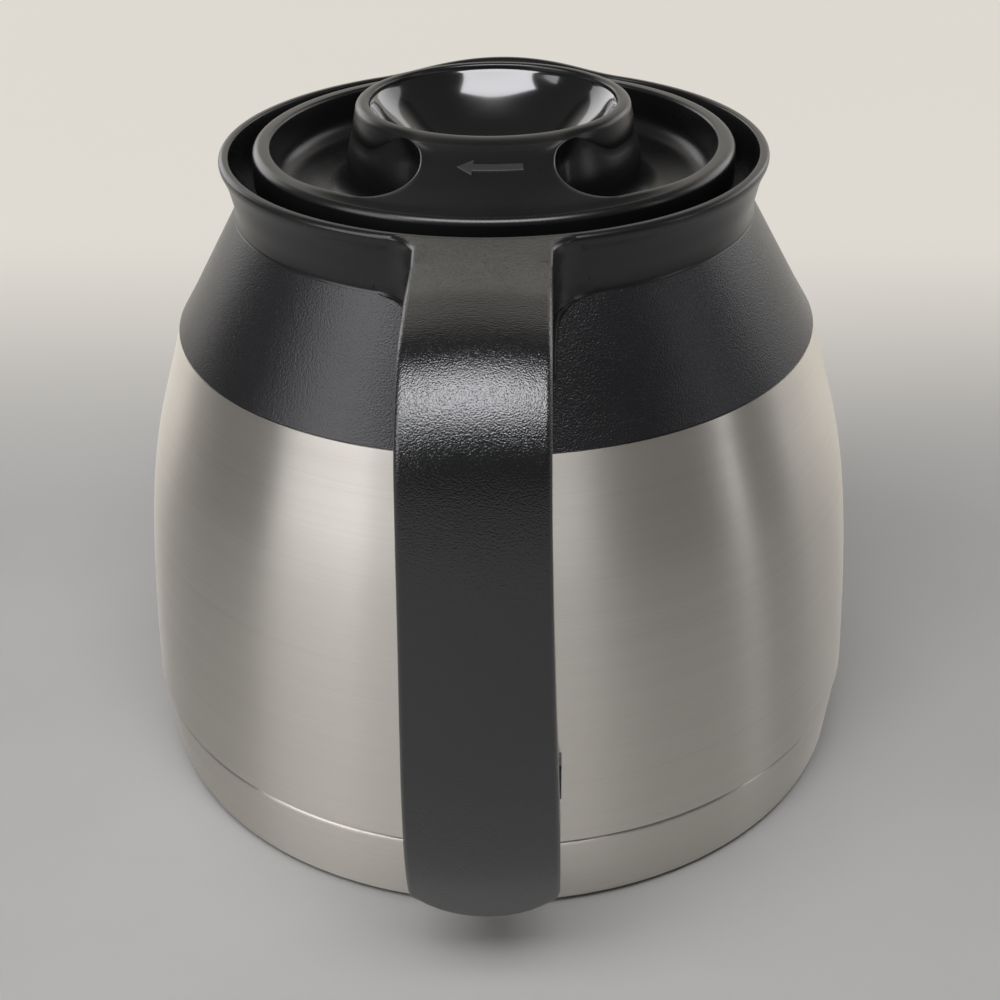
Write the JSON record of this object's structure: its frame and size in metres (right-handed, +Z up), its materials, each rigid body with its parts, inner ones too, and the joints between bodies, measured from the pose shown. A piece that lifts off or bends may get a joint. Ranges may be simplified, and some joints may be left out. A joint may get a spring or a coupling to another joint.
{
  "type": "thermal carafe",
  "caption": "Squat double-walled steel carafe with black pouring collar and spout, strap handle, and a twist-off drip lid with a central dish and finger recesses.",
  "frame": {"origin": "on the axis of the round body, in the plane it stands on", "axes": "+Z up along the body's axis, -Y towards the handle, +Y towards the spout"},
  "size_m": [0.156, 0.1836, 0.14],
  "materials": {
    "brushed_steel": "fine horizontal brushing, satin",
    "inner_steel": "electropolished inside",
    "grained_black": "moulded, fine matte grain",
    "satin_black": "moulded, satin",
    "gloss_black": "moulded, polished",
    "foot_rubber": "matte",
    "silicone": "translucent grey, satin",
    "plated_steel": "zinc plated"
  },
  "bodies": {
    "carafe": {"outer_shell": "brushed_steel", "base_cup": "brushed_steel", "inner_flask": "inner_steel", "getter": "plated_steel", "vacuum_cap": "satin_black", "foot_pad": "foot_rubber", "shoulder_cone": "grained_black", "pour_rim": "satin_black", "bayonet_throat": "gloss_black", "neck_gasket": "silicone", "retaining_ring": "satin_black", "handle_shell": "grained_black", "handle_liner": "satin_black", "handle_foot": "grained_black", "handle_bracket": "inner_steel", "bracket_screw": "plated_steel"},
    "seal_ring": {"lid_seal": "silicone"},
    "lid": {"lid_cover": "satin_black", "drip_dish": "gloss_black", "drip_tube": "gloss_black", "lid_plug": "gloss_black", "lid_screws": "plated_steel", "tube_gasket": "silicone", "valve_guide": "gloss_black", "valve_spring": "plated_steel"},
    "valve": {"drip_valve": "satin_black", "valve_washer": "silicone"}
  },
  "joints": [
    {"name": "lid_lift", "type": "slide", "parent": "carafe", "child": "seal_ring", "axis": [0, 0, 1], "range_m": [0, 0.06]},
    {"name": "lid_turn", "type": "hinge", "parent": "seal_ring", "child": "lid", "pos_m": [0, 0, 0.12], "axis": [0, 0, 1], "range_deg": [-45, 0]},
    {"name": "drip_valve_push", "type": "slide", "parent": "lid", "child": "valve", "axis": [0, 0, -1], "range_m": [0, 0.004], "stiffness_N_per_m": 250, "springref_m": -0.003, "deforming": ["valve_spring"]}
  ]
}
